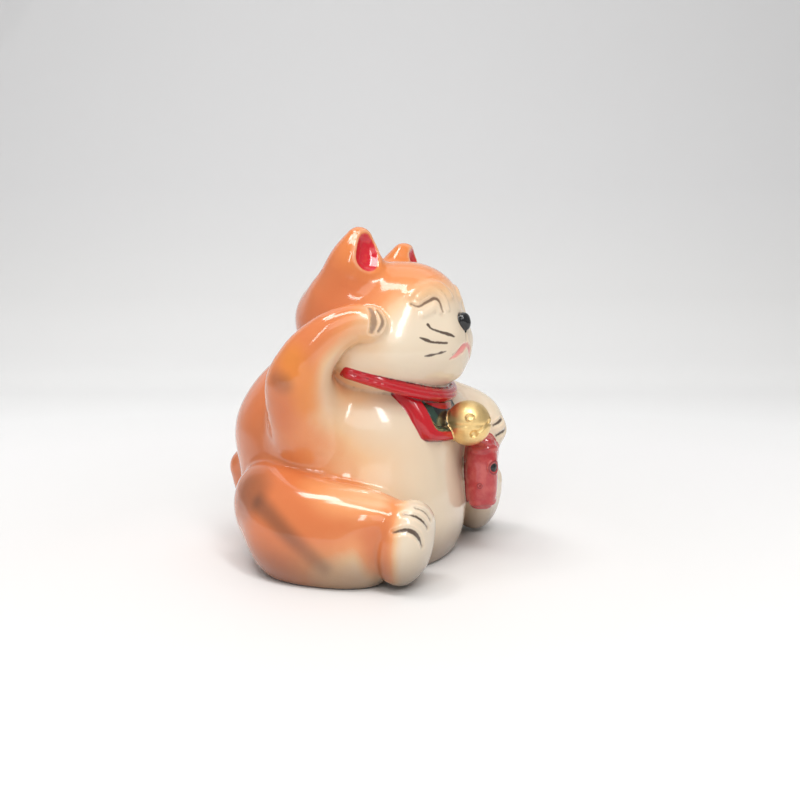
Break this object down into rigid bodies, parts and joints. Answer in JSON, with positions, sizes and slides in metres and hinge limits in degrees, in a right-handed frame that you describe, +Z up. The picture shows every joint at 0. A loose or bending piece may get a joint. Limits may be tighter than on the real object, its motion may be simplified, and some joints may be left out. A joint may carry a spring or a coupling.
{
  "type": "lucky cat figurine",
  "caption": "Seated lucky cat figurine with a raised right paw, collar, bell, bib, and a fish held to its belly; it stands on a flat underside.",
  "frame": {"origin": "middle of the flat underside, at the height of what it stands on", "axes": "+Z up, the cat faces -Y, its raised right paw is on the -X side"},
  "size_m": [0.0774, 0.0717, 0.0804],
  "materials": {
    "glaze": "glossy orange and cream glaze"
  },
  "bodies": {
    "root": {"lucky_cat": "glaze"}
  },
  "joints": []
}
